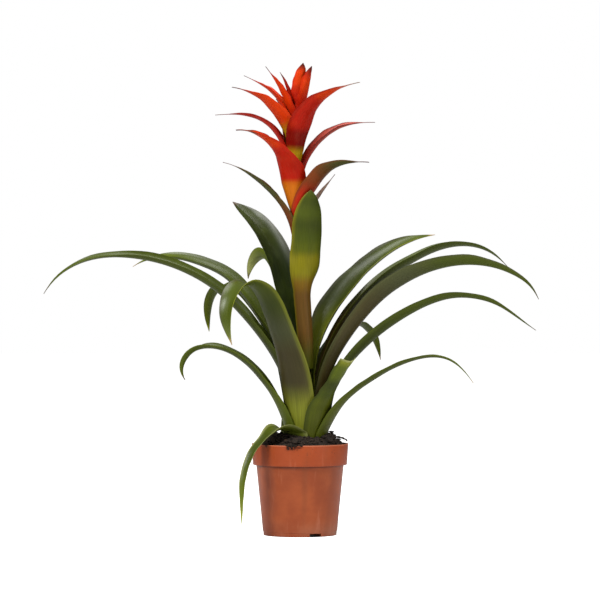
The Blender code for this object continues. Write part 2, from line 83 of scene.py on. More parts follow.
def pulled_up_rings(name, sides, rings):
    """A disc drawn out ring by ring. A ring is (centre x, height, radius)."""
    deselect_all()
    centre, height, radius = rings[0]
    bpy.ops.mesh.primitive_circle_add(
        vertices=sides, radius=radius, fill_type="NGON", location=(centre, 0, height)
    )
    piece = bpy.context.object
    piece.name = name
    place_in_mesh(piece)
    bpy.ops.object.mode_set(mode="EDIT")
    bpy.ops.mesh.select_all(action="SELECT")
    for next_centre, next_height, next_radius in rings[1:]:
        move = (next_centre - centre, 0, next_height - height)
        bpy.ops.mesh.extrude_region_move(TRANSFORM_OT_translate={"value": move})
        grow = next_radius / radius
        bpy.ops.transform.resize(
            value=(grow, grow, 1), center_override=(next_centre, 0, next_height)
        )
        centre, height, radius = next_centre, next_height, next_radius
    bpy.ops.mesh.select_all(action="SELECT")
    bpy.ops.mesh.normals_make_consistent(inside=False)
    bpy.ops.object.mode_set(mode="OBJECT")
    return piece


pot = pulled_up_rings("nursery_pot", 144, [
    (0, 0, POT_FOOT),
    (0, FOOT_BAND, POT_FOOT + 0.0004),
    (0, FOOT_BAND + 0.0004, POT_FOOT + 0.0009),
    (0, POT_RIM_FOOT, BODY_TOP_RADIUS),
    (0, POT_RIM_FOOT, RIM_FOOT_RADIUS),
    (0, POT_RIM_FOOT + 0.0035, RIM_FOOT_RADIUS + 0.0001),
    (0, POT_TOP, RIM_RADIUS),
    (0, POT_TOP, RIM_RADIUS - POT_WALL),
    (0, POT_RIM_FOOT + POT_WALL, RIM_FOOT_RADIUS - POT_WALL),
    (0, POT_RIM_FOOT + POT_WALL, BODY_TOP_RADIUS - POT_WALL),
    (0, 0.0060, POT_FOOT - POT_WALL),
])
edge = pot.modifiers.new("Moulded edges", "BEVEL")
edge.width = 0.0005
edge.segments = 3
edge.limit_method = "ANGLE"
edge.angle_limit = math.radians(35)
edge.use_clamp_overlap = True
apply_modifiers(pot)
for turn in map(math.radians, CHANNEL_HEADINGS):
    along_channel = Vector((math.cos(turn), math.sin(turn), 0))
    deselect_all()
    bpy.ops.mesh.primitive_cube_add(size=1, location=along_channel * 0.034, rotation=(0, 0, turn))
    channel = bpy.context.object
    channel.scale = CHANNEL_SIDES
    place_in_mesh(channel)
    bpy.ops.mesh.primitive_cylinder_add(
        vertices=24, radius=0.003, depth=0.030, location=along_channel * 0.031
    )
    drain = bpy.context.object
    place_in_mesh(drain)
    for cutter in (channel, drain):
        cut = pot.modifiers.new("Drain", "BOOLEAN")
        cut.object = cutter
        cut.solver = "EXACT"
        apply_modifiers(pot)
        bpy.data.objects.remove(cutter, do_unlink=True)
take_up(pot)
bpy.ops.object.shade_smooth_by_angle(angle=math.radians(32))


class Value:
    """A number socket of a material, on which plain Python arithmetic builds Math nodes."""

    def __init__(self, finish, socket):
        self.finish = finish
        self.socket = socket

    def maths(self, operation, first, second=0.0):
        return self.finish.node("ShaderNodeMath", {"operation": operation}, {0: first, 1: second})

    def __add__(self, other):
        return self.maths("ADD", self, other)

    __radd__ = __add__

    def __sub__(self, other):
        return self.maths("SUBTRACT", self, other)

    def __rsub__(self, other):
        return self.maths("SUBTRACT", other, self)

    def __mul__(self, other):
        return self.maths("MULTIPLY", self, other)

    __rmul__ = __mul__

    def between(self, low, high):
        """0 below low and 1 above high, with a smooth rise. It falls instead where low is over high."""
        settings = {"interpolation_type": "SMOOTHSTEP"}
        ends = {"Value": self, "From Min": min(low, high), "From Max": max(low, high)}
        ends["To Min"], ends["To Max"] = (0.0, 1.0) if low < high else (1.0, 0.0)
        return self.finish.node("ShaderNodeMapRange", settings, ends)


class Finish:
    """A material of this plant or its pot, under the name of its finish."""

    def __init__(self, name, roughness):
        self.material = bpy.data.materials.new(name)
        self.material.use_nodes = True
        self.tree = self.material.node_tree
        self.shader = self.tree.nodes["Principled BSDF"]
        self.shader.inputs["Roughness"].default_value = roughness

    def node(self, kind, settings, inputs, output=0):
        made = self.tree.nodes.new(kind)
        for key, value in settings.items():
            if key == "stops":
                ramp = made.color_ramp
                while len(ramp.elements) < len(value):
                    ramp.elements.new(0.5)
                for element, (place, colour) in zip(ramp.elements, value):
                    element.position = place
                    element.color = (*colour, 1)
            else:
                setattr(made, key, value)
        for key, value in inputs.items():
            if isinstance(value, Value):
                self.tree.links.new(value.socket, made.inputs[key])
            elif isinstance(value, tuple) and made.inputs[key].type == "RGBA":
                made.inputs[key].default_value = (*value, 1)
            else:
                made.inputs[key].default_value = value
        return Value(self, made.outputs[output])

    def where(self, stretch=(1, 1, 1), source="Object"):
        place = self.node("ShaderNodeTexCoord", {}, {}, source)
        return self.node("ShaderNodeMapping", {}, {"Vector": place, "Scale": stretch})

    def split(self, vector):
        made = self.tree.nodes.new("ShaderNodeSeparateXYZ")
        self.tree.links.new(vector.socket, made.inputs[0])
        return [Value(self, socket) for socket in made.outputs]

    def noise(self, vector, scale, detail=3.0, roughness=0.55):
        inputs = {"Vector": vector, "Scale": scale, "Detail": detail, "Roughness": roughness}
        return self.node("ShaderNodeTexNoise", {}, inputs)

    def mix(self, share, first, second, blend="MIX"):
        settings = {"data_type": "RGBA", "blend_type": blend, "clamp_factor": True}
        return self.node("ShaderNodeMix", settings, {0: share, 6: first, 7: second}, 2)

    def colour(self, value):
        self.tree.links.new(value.socket, self.shader.inputs["Base Color"])

    def vary(self, socket, value):
        self.tree.links.new(value.socket, self.shader.inputs[socket])

    def relief(self, height, strength, distance):
        inputs = {"Height": height, "Strength": strength, "Distance": distance}
        self.vary("Normal", self.node("ShaderNodeBump", {}, inputs))


plastic = Finish("terracotta plastic", 0.4)
place = plastic.where()
height = plastic.split(place)[2]
cloudy = plastic.noise(place, 32, 4)
fine = plastic.noise(place, 900, 2)
streaks = plastic.noise(plastic.where((1, 1, 0.12)), 150, 3)
shade = plastic.mix(cloudy.between(0.35, 0.7), (0.195, 0.037, 0.009), (0.245, 0.052, 0.013))
shade = plastic.mix(streaks.between(0.58, 0.75) * 0.35, shade, (0.34, 0.12, 0.065))
rim_part = height.between(POT_RIM_FOOT - 0.0004, POT_RIM_FOOT + 0.0004)
shade = plastic.mix(rim_part * 0.5, shade, (0.235, 0.035, 0.007))
low_dust = height.between(0.024, 0.002) * cloudy.between(0.3, 0.8)
shade = plastic.mix(low_dust * 0.35, shade, (0.22, 0.13, 0.085))
drips = plastic.noise(plastic.where((1, 1, 0.25)), 48, 4)
soil_line = (height + (drips - 0.62) * 0.045).between(POT_TOP - 0.0015, POT_TOP + 0.0015)
specks = plastic.noise(place, 420, 2).between(0.66, 0.72) * height.between(0.085, 0.112)
soiled = plastic.node("ShaderNodeMath", {"operation": "MAXIMUM"}, {0: soil_line, 1: specks})
shade = plastic.mix(soiled * 0.85, shade, (0.030, 0.017, 0.010))
# Painted shadow: a dark band just under the rim's overhang, stopping at the rim's foot.
above_shadow = height.between(POT_RIM_FOOT + 0.0002, POT_RIM_FOOT)
painted_rim_shadow = height.between(POT_RIM_FOOT - 0.0028, POT_RIM_FOOT - 0.0004) * above_shadow
shade = plastic.mix(painted_rim_shadow * 0.75, shade, (0.070, 0.012, 0.004))
turned = plastic.noise(plastic.where((1, 1, 0.02)), 38, 1)
shade = plastic.mix(turned.between(0.52, 0.68) * 0.45, shade, (0.150, 0.036, 0.011))
runs = plastic.noise(plastic.where((1, 1, 0.04)), 170, 2).between(0.64, 0.70)
shade = plastic.mix(runs * height.between(0.098, 0.107) * 0.6, shade, (0.060, 0.022, 0.010))
# Painted highlight: a pale line along the lip just under the top edge, left off where soil lies.
painted_lip_highlight = height.between(POT_TOP - 0.0016, POT_TOP - 0.0006)
shade = plastic.mix(painted_lip_highlight * (1 - soil_line) * 0.5, shade, (0.40, 0.14, 0.075))
plastic.colour(shade)
plastic.vary("Roughness", 0.36 + cloudy * 0.10 + soiled * 0.35)
plastic.shader.inputs["Specular IOR Level"].default_value = 0.18
plastic.relief(cloudy * 0.5 + fine * 0.25 + soiled * 1.2, 0.25, 0.0004)
pot.data.materials.append(plastic.material)
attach(pot, "root")
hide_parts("pot")

# ---- The soil -----------------------------------------------------------------------------------------
# Dark peat and composted bark, watered in and settled to a rough mound that fills the pot and rises to the
# crown. Crumbs of it lie loose on the top.
MILLIMETRE = 0.001
SOIL_RADIUS = 0.0580
WELL_CENTRE = Vector((0.0070, 0.0, 0.0))
WELL_RADIUS = 0.0281
WELL_FLOOR = 0.1055
LOOSE_CRUMBS = 520
RIM_CRUMBS = 60
# Heaps where the mix was pressed down by hand: x, y, rise, spread, crumbs, in millimetres.
HEAPS = (
    (-40, 12, 9, 15, 60), (-47, -16, 4, 10, 40), (-30, -24, 6, 12, 60), (39, -14, 9, 14, 70),
    (40, 6, 9, 14, 60), (-12, -46, 3, 12, 60), (14, -46, 2, 12, 40),
)


def smooth_step(share):
    share = min(max(share, 0.0), 1.0)
    return share * share * (3.0 - 2.0 * share)


def soil_height(x, y):
    """The settled mound, with the lumps of its bark, and a hollow where the crown sits."""
    radius = math.hypot(x, y)
    mound = 0.1105 + 0.0150 * (1.0 - smooth_step((radius - 0.020) / 0.0385))
    rough = noise.fractal(Vector((x, y, 0.3)) * 130, 0.8, 2.0, 4)
    lumps = noise.noise(Vector((x, y, 2.7)) * 300)
    inside = smooth_step((0.0585 - radius) / 0.004)
    from_crown = (Vector((x, y, 0)) - WELL_CENTRE).length
    well = 1.0 - smooth_step((from_crown - WELL_RADIUS + 0.0012) / 0.0012)
    height = mound + (rough * 0.0016 + lumps * 0.0011) * (0.3 + 0.7 * inside)
    for heap_x, heap_y, rise, spread, count in HEAPS:
        away = math.hypot(x / MILLIMETRE - heap_x, y / MILLIMETRE - heap_y) / spread
        height += rise * MILLIMETRE * (1.0 - smooth_step(away)) * inside * (0.8 + 0.5 * lumps)
    return height + (WELL_FLOOR - height) * well


deselect_all()
bpy.ops.mesh.primitive_grid_add(x_subdivisions=110, y_subdivisions=110, size=2)
soil = bpy.context.object
soil.name = "peat_soil"
for vertex in soil.data.vertices:
    x, y = vertex.co.x, vertex.co.y
    x, y = x * math.sqrt(1 - y * y / 2) * SOIL_RADIUS, y * math.sqrt(1 - x * x / 2) * SOIL_RADIUS
    vertex.co = (x, y, soil_height(x, y))
take_up(soil)
bpy.ops.object.mode_set(mode="EDIT")
bpy.ops.mesh.select_all(action="SELECT")
# Height, radius, and the radius before it, from under the rim to the floor of the pot.
SOIL_SKIRT = ((0.0890, 0.0565, SOIL_RADIUS), (0.0888, 0.0525, 0.0565), (0.0064, 0.0434, 0.0525))
for drop_to, radius, was in SOIL_SKIRT:
    bpy.ops.mesh.extrude_region_move(TRANSFORM_OT_translate={"value": (0, 0, -0.0001)})
    bpy.ops.transform.resize(value=(radius / was, radius / was, 0), center_override=(0, 0, drop_to))
bpy.ops.mesh.select_all(action="SELECT")
bpy.ops.mesh.normals_make_consistent(inside=False)
bpy.ops.object.mode_set(mode="OBJECT")
bpy.ops.object.shade_smooth()

peat = Finish("damp peat", 0.9)
place = peat.where()
grain = peat.noise(place, 420, 5)
clods = peat.noise(place, 95, 4)
shade = peat.mix(grain.between(0.35, 0.7), (0.0040, 0.0028, 0.0020), (0.022, 0.013, 0.008))
shade = peat.mix(clods.between(0.58, 0.74) * 0.6, shade, (0.042, 0.025, 0.012))
peat.colour(shade)
peat.shader.inputs["Specular IOR Level"].default_value = 0.2
peat.relief(grain + clods * 0.6, 0.8, 0.0012)
soil.data.materials.append(peat.material)
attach(soil, "root")
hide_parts("potting_soil")


def crumb(name, seed, sides):
    """One lump of bark or peat, knocked out of round."""
    deselect_all()
    bpy.ops.mesh.primitive_ico_sphere_add(subdivisions=2, radius=0.5)
    lump = bpy.context.object
    lump.name = name
    bpy.ops.object.mode_set(mode="EDIT")
    bpy.ops.mesh.select_all(action="SELECT")
    bpy.ops.transform.vertex_random(offset=0.10, seed=seed)
    bpy.ops.transform.resize(value=sides)
    bpy.ops.object.mode_set(mode="OBJECT")
    return lump


chance = random.Random(41)
masters = [
    crumb("crumb_a", 3, (1.5, 0.8, 0.5)),
    crumb("crumb_b", 8, (1.0, 0.9, 0.7)),
    crumb("crumb_c", 5, (2.2, 0.5, 0.35)),
]
crumbs = []


def drop_crumb(master, place, turn, size):
    lump = bpy.data.objects.new("crumb", master.data.copy())
    bpy.context.scene.collection.objects.link(lump)
    lump.data.transform(Matrix.Translation(place) @ turn @ Matrix.Scale(size, 4))
    crumbs.append(lump)


def tumbled(tip):
    spin = Matrix.Rotation(chance.uniform(0, math.tau), 4, "Z")
    return spin @ Matrix.Rotation(chance.uniform(-tip, tip), 4, "X")


for number in range(LOOSE_CRUMBS):
    away = 0.0565 * math.sqrt(chance.uniform(0.05, 1.0))
    heading = chance.uniform(0, math.tau)
    x, y = away * math.cos(heading), away * math.sin(heading)
    if (Vector((x, y, 0)) - WELL_CENTRE).length < WELL_RADIUS + 0.0022:
        continue
    size = chance.choice((0.0013, 0.0018, 0.0024, 0.0032, 0.0042))
    size = min(size, (0.0583 - away) * 1.1)
    if size < 0.0008:
        continue
    master = chance.choice(masters)
    drop_crumb(master, (x, y, soil_height(x, y) + size * 0.15), tumbled(0.6), size)
for heap_x, heap_y, rise, spread, count in HEAPS:
    for number in range(count):
        away, heading = spread * math.sqrt(number / count), number * 2.4
        x = (heap_x + away * math.cos(heading)) * MILLIMETRE
        y = (heap_y + away * math.sin(heading)) * MILLIMETRE
        size = chance.choice((0.0022, 0.0030, 0.0040))
        if math.hypot(x, y) > SOIL_RADIUS - 0.0005:
            continue
        master = chance.choice(masters)
        drop_crumb(master, (x, y, soil_height(x, y) + size * 0.15), tumbled(1), size)
# Wet crumbs that cling to the outside of the rim where the mix spilled over it.
for number in range(RIM_CRUMBS):
    heading = math.radians(-97 + 9 * chance.uniform(-1, 1))
    fallen = chance.uniform(0, 1) ** 2
    size = 0.0030 - 0.0018 * fallen
    around = 0.0603 - 0.0004 * fallen
    place = (around * math.cos(heading), around * math.sin(heading), 0.1138 - 0.0065 * fallen)
    master = chance.choice(masters)
    drop_crumb(master, place, Matrix.Rotation(chance.uniform(0, math.tau), 4, "Z"), size)
for master in masters:
    bpy.data.objects.remove(master, do_unlink=True)
deselect_all()
for lump in crumbs:
    lump.select_set(True)
bpy.context.view_layer.objects.active = crumbs[0]
bpy.ops.object.join()
loose_soil = bpy.context.object
loose_soil.name = "loose_crumbs"

bark = Finish("composted bark", 0.85)
place = bark.where()
grain = bark.noise(bark.where((1, 1, 3)), 260, 5)
patches = bark.noise(place, 120, 2)
shade = bark.mix(grain.between(0.3, 0.75), (0.004, 0.003, 0.002), (0.024, 0.014, 0.008))
shade = bark.mix(patches.between(0.62, 0.72) * 0.7, shade, (0.060, 0.033, 0.015))
bark.colour(shade)
bark.shader.inputs["Specular IOR Level"].default_value = 0.2
bark.relief(grain, 0.7, 0.0008)
loose_soil.data.materials.append(bark.material)
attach(loose_soil, "root")

# ---- Bark chips and the old root ----------------------------------------------------------------------
# Larger chips of pine bark on top of the mix, flaky and split along their grain, and a dead root that has
# worked its way out over the rim.
CHIP_SIDES = ((15, 9, 4), (12, 7, 4), (13, 9, 5), (11, 8, 4), (12, 7, 4), (14, 9, 4))
CHIP_TURNS = (20, 70, -35, 80, 5, 150)
for number, (sides, turn) in enumerate(zip(CHIP_SIDES, CHIP_TURNS), 1):
    node = f"bark_chip_{number}"
    low, high = (Vector(corner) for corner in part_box(node))
    middle = (low + high) / 2
    deselect_all()
    bpy.ops.mesh.primitive_cube_add(size=1)
    chip = bpy.context.object
    chip.name = f"bark_piece_{number}"
    bpy.ops.object.mode_set(mode="EDIT")
    bpy.ops.mesh.select_all(action="SELECT")
    bpy.ops.mesh.subdivide(number_cuts=5)
    bpy.ops.transform.resize(value=tuple(side * 0.00088 for side in sides))
    bpy.ops.object.mode_set(mode="OBJECT")
    for vertex in chip.data.vertices:
        share = vertex.co.x / (sides[0] * 0.00044)
        flake = noise.noise(Vector((vertex.co.x * 60, vertex.co.y * 900, number * 3.1)))
        vertex.co.z *= 1.0 - 0.35 * share * share + flake * 0.5
        ragged = noise.noise(vertex.co * 400 + Vector((number, 0, 0)))
        vertex.co.y *= 1.0 - 0.30 * abs(share) ** 3 + 0.10 * ragged
        vertex.co.x *= 1.0 + 0.08 * noise.noise(Vector((number, vertex.co.y * 700, vertex.co.z * 500)))
    outward = Vector((middle.x, middle.y, 0)).normalized()
    reach = outward.xy * 0.006
    slope = math.atan2(soil_height(*(middle.xy - reach)) - soil_height(*(middle.xy + reach)), 0.012)
    lie = Matrix.Rotation(math.atan2(middle.y, middle.x), 4, "Z") @ Matrix.Rotation(slope, 4, "Y")
    lie = lie @ Matrix.Rotation(math.radians(turn), 4, "Z")
    chip.data.transform(Matrix.Translation(middle) @ lie)
    take_up(chip)
    bpy.ops.object.shade_smooth_by_angle(angle=math.radians(40))
    chip.data.materials.append(bark.material)
    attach(chip, "root")
    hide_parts(node)

ROOT_HEADINGS = (-22, -17, -16, -20, -25)
ROOT_FROM_AXIS = (0.042, 0.050, 0.057, 0.064)
ROOT_ABOVE_RIM = (0.0095, 0.0085, 0.0070, 0.0048)
ROOT_RINGS = 24


def along(values, share):
    """The value at a share of the way along evenly spaced values, joined by a smooth curve."""
    spans = len(values) - 1
    place = min(max(share, 0.0), 1.0) * spans
    first = min(int(place), spans - 1)
    step = place - first
    before = values[max(first - 1, 0)]
    start, end = values[first], values[first + 1]
    after = values[min(first + 2, spans)]
    bend = 3.0 * (start - end) + after - before
    return start + 0.5 * step * (
        end - before + step * (2.0 * before - 5.0 * start + 4.0 * end - after + step * bend)
    )


root = pulled_up_rings("old_root", 10, [
    (0, step * 0.001, 0.00115 + 0.0003 * math.sin(step * 0.9 + 0.6)) for step in range(ROOT_RINGS + 1)
])
for vertex in root.data.vertices:
    share = vertex.co.z / (ROOT_RINGS * 0.001)
    heading = math.radians(along(ROOT_HEADINGS, share))
    side = Vector((-math.sin(heading), math.cos(heading), 0))
    ahead = Vector((math.cos(heading), math.sin(heading), 0)) * along(ROOT_FROM_AXIS, share)
    height = POT_TOP + along(ROOT_ABOVE_RIM, share) + vertex.co.y
    vertex.co = ahead + side * vertex.co.x + Vector((0, 0, height))
take_up(root)
bpy.ops.object.mode_set(mode="EDIT")
bpy.ops.mesh.select_all(action="SELECT")
bpy.ops.mesh.normals_make_consistent(inside=False)
bpy.ops.object.mode_set(mode="OBJECT")
bpy.ops.object.shade_smooth()
root.data.materials.append(bark.material)
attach(root, "root")
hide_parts("root_strand")

# ---- The flower stem ----------------------------------------------------------------------------------
# The stem stands on a short woody base inside the crown and sways a little as it rises. It is fleshy and
# brown-green low down, and reddens towards the flower head.
CROWN_Z = 0.114
STEM_HEIGHT = 0.424
STEM_SWAY = (0.0070, 0.0080, 0.0068, 0.0024, -0.0008, -0.0045, -0.0072, -0.0020)


def stem_centre(z):
    return Vector((along(STEM_SWAY, (z - CROWN_Z) / STEM_HEIGHT), 0.0, z))


def stem_radius(z):
    return 0.0060 - 0.0020 * smooth_step((z - CROWN_Z) / STEM_HEIGHT * 2.0 - 1.0)


STEM_STEPS = 85
stem_rings = [
    (0.0070, 0.1070, 0.0200), (0.0070, 0.1130, 0.0218), (0.0070, 0.1135, 0.0208), (0.0070, 0.1138, 0.0066),
]
for step in range(1, STEM_STEPS + 1):
    z = CROWN_Z + STEM_HEIGHT * step / STEM_STEPS
    ridge = 0.00025 * max(0.0, math.sin(z * 230)) ** 6
    stem_rings.append((stem_centre(z).x, z, stem_radius(z) - 0.00012 + ridge))
stem_top = stem_centre(CROWN_Z + STEM_HEIGHT)
stem_rings.append((stem_top.x, stem_top.z + 0.003, 0.0026))
stem_rings.append((stem_top.x, stem_top.z + 0.004, 0.0010))
stem = pulled_up_rings("scape", 24, stem_rings)
take_up(stem)
bpy.ops.object.shade_smooth_by_angle(angle=math.radians(50))

scape = Finish("fleshy stem", 0.42)
place = scape.where()
height = scape.split(place)[2]
fibres = scape.noise(scape.where((1, 1, 0.05)), 900, 3)
blush = scape.noise(place, 40, 3)
ripe = scape.node("ShaderNodeValToRGB", {"stops": [
    (0.0, (0.060, 0.045, 0.008)), (0.25, (0.080, 0.060, 0.008)), (0.45, (0.110, 0.050, 0.008)),
    (0.62, (0.300, 0.080, 0.012)), (0.80, (0.500, 0.100, 0.012)), (1.0, (0.600, 0.120, 0.012)),
]}, {"Fac": height.between(0.11, 0.55)})
shade = scape.mix(fibres.between(0.4, 0.7) * 0.35, ripe, (0.16, 0.11, 0.03))
shade = scape.mix(blush.between(0.5, 0.8) * 0.4, shade, (0.20, 0.030, 0.010))
scape.colour(shade)
scape.relief(fibres, 0.35, 0.0004)
stem.data.materials.append(scape.material)
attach(stem, "root")
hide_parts("flower_stem")

# ---- The leaves ---------------------------------------------------------------------------------------
# Strap leaves, smooth edged and glossy above, paler and finely lined beneath. Their broad bases sheathe one
# another round the crown, flushed purple-brown, and the blades arch out and droop to pale, dried points.
CROWN_RADIUS = 0.0250
CROWN_FLARE = (0.0, 0.0022, 0.0042, 0.0056, 0.0072, 0.0105, 0.0150)
CROWN_HEIGHT = 0.108
CROWN_HEART_RADIUS = 0.0102
LAYERS = 7
LAYERS_GONE = (0.0, 0.3, 0.9, 1.4, 1.9, 2.4, 3.0, 3.8)
SHEATH_HALF_ANGLE = math.radians(54)
TIP_HALF_WIDTH = 0.0004
STRAP_ACROSS = 16
LEAF_STEPS = 52
LEAF_THICKNESS = 0.0008
LEAF_DRY_FROM = 0.955
PARTS_IN_A_STEP = 2

# The first green below is painted shade: a near-black green laid where a leaf lies in shadow.
PAINTED_SHADE_GREEN = (0.010, 0.017, 0.001)
DEEP = (0.021, 0.029, 0.001)
GREEN = (0.038, 0.052, 0.001)
FRESH = (0.080, 0.104, 0.003)
OLIVE = (0.064, 0.074, 0.001)
LIME = (0.225, 0.235, 0.018)
PALE = (0.300, 0.310, 0.110)
FLUSH = (0.042, 0.022, 0.014)
SMOKE = (0.046, 0.045, 0.024)
STRAW = (0.300, 0.190, 0.080)
AMBER_FLUSH = (0.075, 0.030, 0.010)
UMBER = (0.060, 0.030, 0.015)


def facing(heading):
    return Vector((math.cos(heading), math.sin(heading), 0.0))


def crown_shell_radius(z, layer):
    share = (z - CROWN_Z) / CROWN_HEIGHT
    outer = CROWN_RADIUS + along(CROWN_FLARE, share)
    gone = along(LAYERS_GONE, share)
    return outer + (CROWN_HEART_RADIUS - outer) * (layer - gone) / (LAYERS - 1 - gone)


def strap_stations(sheath, row, steps):
    """Stations up the sheath and along the blade, from one row of the tables below.

    A station is its midrib point, the way across, the way to the inner side, the half width, the half angle
    of its channel, and its share of the blade.
    """
    heading, turn, blade, half_width, taper, point_share, end_share, fold, twist, end_twist, slopes = row
    heading, turn = math.radians(heading), math.radians(turn)
    twist, end_twist = math.radians(twist), math.radians(end_twist)
    blade, half_width = blade * MILLIMETRE, half_width * MILLIMETRE
    out = facing(heading)
    stations = []
    for centre, radius, width in sheath:
        sideways = Vector((-out.y, out.x, 0.0))
        stations.append((centre + out * radius, sideways, -out, width, width / radius, 0.0))
    point = stations[-1][0].copy()
    start_width, start_angle = stations[-1][3:5]
    up = Vector((0.0, 0.0, 1.0))
    parts = steps * PARTS_IN_A_STEP
    for part in range(1, parts + 1):
        share = part / parts
        slope = math.radians(along(slopes, share - 0.5 / parts))
        out = facing(heading + turn * share)
        point = point + (out * math.cos(slope) + up * math.sin(slope)) * (blade / parts)
        if part % PARTS_IN_A_STEP:
            continue
        slope = math.radians(along(slopes, share))
        ahead = out * math.cos(slope) + up * math.sin(slope)
        ahead = (up + (ahead - up) * smooth_step(share / 0.2)).normalized()
        sideways = Vector((-out.y, out.x, 0.0))
        inner = sideways.cross(ahead) * -1.0
        roll = twist * smooth_step(share / 0.45) + end_twist * smooth_step((share - 0.66) / 0.26)
        rolled = sideways * math.cos(roll) + inner * math.sin(roll)
        inner = inner * math.cos(roll) - sideways * math.sin(roll)
        width = half_width * max(1.0 - (share / point_share) ** taper, end_share)
        width = start_width + (width - start_width) * smooth_step(share / 0.3)
        angle = start_angle + (fold - start_angle) * smooth_step(share / 0.3)
        angle *= min(1.0, 0.35 + width / half_width)
        stations.append((point, rolled, inner, max(width, TIP_HALF_WIDTH), angle, share))
    return stations


def tint_at(tints, share):
    place = min(max(share, 0.0), 1.0) * (len(tints) - 1)
    first = min(int(place), len(tints) - 2)
    step = smooth_step(place - first)
    return [a + (b - a) * step for a, b in zip(tints[first], tints[first + 1])]


def bent_strap(name, stations, thickness, tints, margins, tip, dry_from, ripple, seed):
    """A flat strip bent along its stations, tinted from base to tip, and thinned to its edges."""
    deselect_all()
    last = len(stations) - 1
    bpy.ops.mesh.primitive_grid_add(x_subdivisions=last, y_subdivisions=STRAP_ACROSS, size=2)
    piece = bpy.context.object
    piece.name = name
    body = piece.vertex_groups.new(name="body")
    colours = []
    for vertex in piece.data.vertices:
        number = round((vertex.co.x + 1) / 2 * last)
        side = vertex.co.y
        midrib, sideways, inner, half_width, half_angle, share = stations[number]
        loose = smooth_step((share - 0.15) / 0.2) * min(1.0, half_width / 0.008)
        wave = noise.noise(Vector((share * 7.0, side * 0.6, seed * 7.3)))
        curl = noise.noise(Vector((share * 13.0, seed * 3.1, side * 1.5))) * abs(side) ** 2
        groove = math.exp(-((side / 0.16) ** 2)) * -0.0004
        lift = (wave * 0.0012 + curl * 0.0016) * ripple * loose + groove * loose
        angle = side * half_angle * (1.0 + 0.12 * ripple * loose * wave)
        bend_radius = half_width / half_angle
        vertex.co = (
            midrib + sideways * math.sin(angle) * bend_radius
            + inner * ((1.0 - math.cos(angle)) * bend_radius + lift)
        )
        full = 1.0 - 0.65 * abs(side) ** 3 - 0.2 * smooth_step((share - 0.8) / 0.2)
        body.add([vertex.index], full, "REPLACE")
        whole = number / last
        colour = tint_at(tints, whole)
        edge = smooth_step((abs(side) - 0.70) / 0.3) * 0.75
        colour = [a + (b - a) * edge for a, b in zip(colour, margins[side > 0])]
        dry = smooth_step((share - dry_from) / (0.99 - dry_from))
        colour = [a + (b - a) * dry for a, b in zip(colour, tip)]
        colours += [*colour, 1.0 - smooth_step((share - 0.55) / 0.35)]
    paint = piece.data.color_attributes.new("tint", "FLOAT_COLOR", "POINT")
    paint.data.foreach_set("color", colours)
    skin = piece.modifiers.new("Body", "SOLIDIFY")
    skin.thickness = thickness
    skin.offset = 0.0
    skin.vertex_group = "body"
    skin.thickness_vertex_group = 0.25
    skin.material_offset = 1
    skin.material_offset_rim = 1
    return piece


def leaf_finish(name, under, gloss, line_share, spot, speckled, shine):
    """A leaf or bract surface: its tint, fine lines along its length, blotches, and a waxy gloss."""
    finish = Finish(name, gloss)
    tint = finish.node("ShaderNodeAttribute", {"attribute_name": "tint"}, {}, "Color")
    broad = finish.node("ShaderNodeAttribute", {"attribute_name": "tint"}, {}, "Alpha")
    lines = finish.noise(finish.where((1.2, 20, 1), "UV"), 4.0, 2, 0.5)
    hair = finish.noise(finish.where((3.0, 46, 1), "UV"), 4.0, 1, 0.5)
    blotches = finish.noise(finish.where(), 38, 2, 0.5)
    specks = finish.noise(finish.where(), 420, 2, 0.5)
    darker = finish.mix(0.55, tint, (0.0, 0.0, 0.0))
    shade = finish.mix(lines.between(0.30, 0.72) * broad * line_share, tint, darker)
    shade = finish.mix(blotches.between(0.48, 0.80) * 0.30, shade, finish.mix(0.5, shade, spot))
    paler = finish.mix(0.20, shade, (0.55, 0.60, 0.25))
    shade = finish.mix(hair.between(0.50, 0.80) * 0.18, shade, paler)
    shade = finish.mix(specks.between(0.70, 0.76) * speckled, shade, finish.mix(0.6, shade, UMBER))
    if under:
        shade = finish.mix(0.30, shade, under)
    finish.colour(shade)
    finish.vary("Roughness", gloss - 0.05 + blotches * 0.10 + hair * 0.05)
    finish.relief(lines * broad * 0.6 + blotches * 0.8, 0.25, 0.0006)
    finish.shader.inputs["Specular IOR Level"].default_value = shine
    return finish


leaf_above = leaf_finish("leaf, glossy upper side", None, 0.34, 0.55, (0.10, 0.14, 0.010), 0.3, 0.24)
leaf_beneath = leaf_finish(
    "leaf, lined underside", (0.048, 0.062, 0.006), 0.42, 0.75, (0.09, 0.08, 0.02), 0.3, 0.10
)

